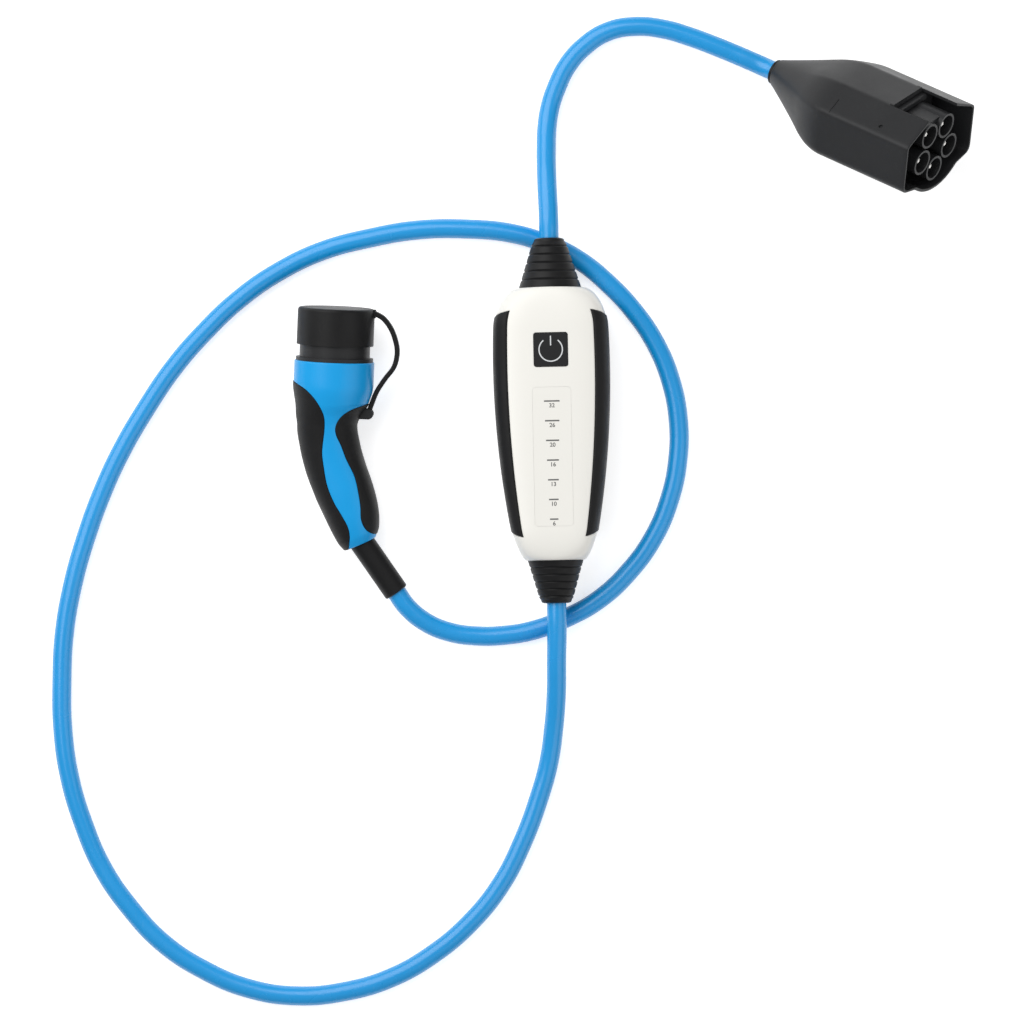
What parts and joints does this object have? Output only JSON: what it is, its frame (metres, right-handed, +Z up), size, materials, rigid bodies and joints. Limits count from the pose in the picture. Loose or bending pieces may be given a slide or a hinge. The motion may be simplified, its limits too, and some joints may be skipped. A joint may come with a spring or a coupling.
{
  "type": "portable ev charger",
  "caption": "In-line control box with soft side grips, on a blue cable between a capped vehicle connector with a curved handle and a shrouded pin plug for charging an electric car.",
  "frame": {"origin": "middle of the control box at its underside, on the surface that the charger lies on", "axes": "+Z up out of the front of the box, +Y along the box towards the supply end, +X to the right seen from above"},
  "size_m": [0.8043, 0.8488, 0.1405],
  "materials": {
    "white_shell": "satin",
    "seal_rubber": "matte",
    "black_grip": "matte",
    "touch_panel": "gloss",
    "window": "gloss",
    "light_guide": "gloss",
    "black_rubber": "matte",
    "grey_plastic": "matte",
    "board": "satin",
    "steel": "brushed",
    "relay_case": "matte",
    "terminal": "matte",
    "cable_blue": "satin",
    "lead_brown": "satin",
    "blue_shell": "satin",
    "black_plastic": "satin",
    "contact_metal": "polished"
  },
  "bodies": {
    "charger": {"box_upper_shell": "white_shell", "box_lower_shell": "white_shell", "housing_seal": "seal_rubber", "side_grip_left": "black_grip", "side_grip_right": "black_grip", "touch_plate": "touch_panel", "scale_window": "window", "light_guide": "light_guide", "cable_boot_top": "black_rubber", "cable_boot_bottom": "black_rubber", "cable_clamp_top": "grey_plastic", "cable_clamp_bottom": "grey_plastic", "control_board": "board", "board_screws": "steel", "relays": "relay_case", "fault_current_sensor": "relay_case", "power_module": "relay_case", "supply_terminals": "terminal", "vehicle_terminals": "terminal", "supply_leads": "cable_blue", "vehicle_leads": "cable_blue", "phase_leads": "lead_brown", "housing_screws": "steel", "connector_shell_upper": "blue_shell", "connector_shell_lower": "blue_shell", "connector_grip_back": "black_grip", "connector_grip_front": "black_grip", "connector_shroud": "black_plastic", "contact_block": "black_plastic", "contacts": "contact_metal", "connector_leads": "cable_blue", "connector_boot": "black_rubber", "connector_screws": "steel", "cap_strap": "black_rubber", "strap_anchor": "black_plastic", "plug_housing": "black_plastic", "plug_core": "black_plastic", "plug_sleeves": "black_plastic", "plug_pins": "contact_metal", "plug_boot": "black_rubber", "plug_leads": "cable_blue", "supply_cable": "cable_blue", "vehicle_cable": "cable_blue"},
    "cap": {"protective_cap": "black_rubber"}
  },
  "joints": [
    {"name": "cap_slide", "type": "slide", "parent": "charger", "child": "cap", "axis": [0.0642, 0.9933, 0.0958], "range_m": [0, 0.032], "deforming": ["cap_strap"]}
  ]
}
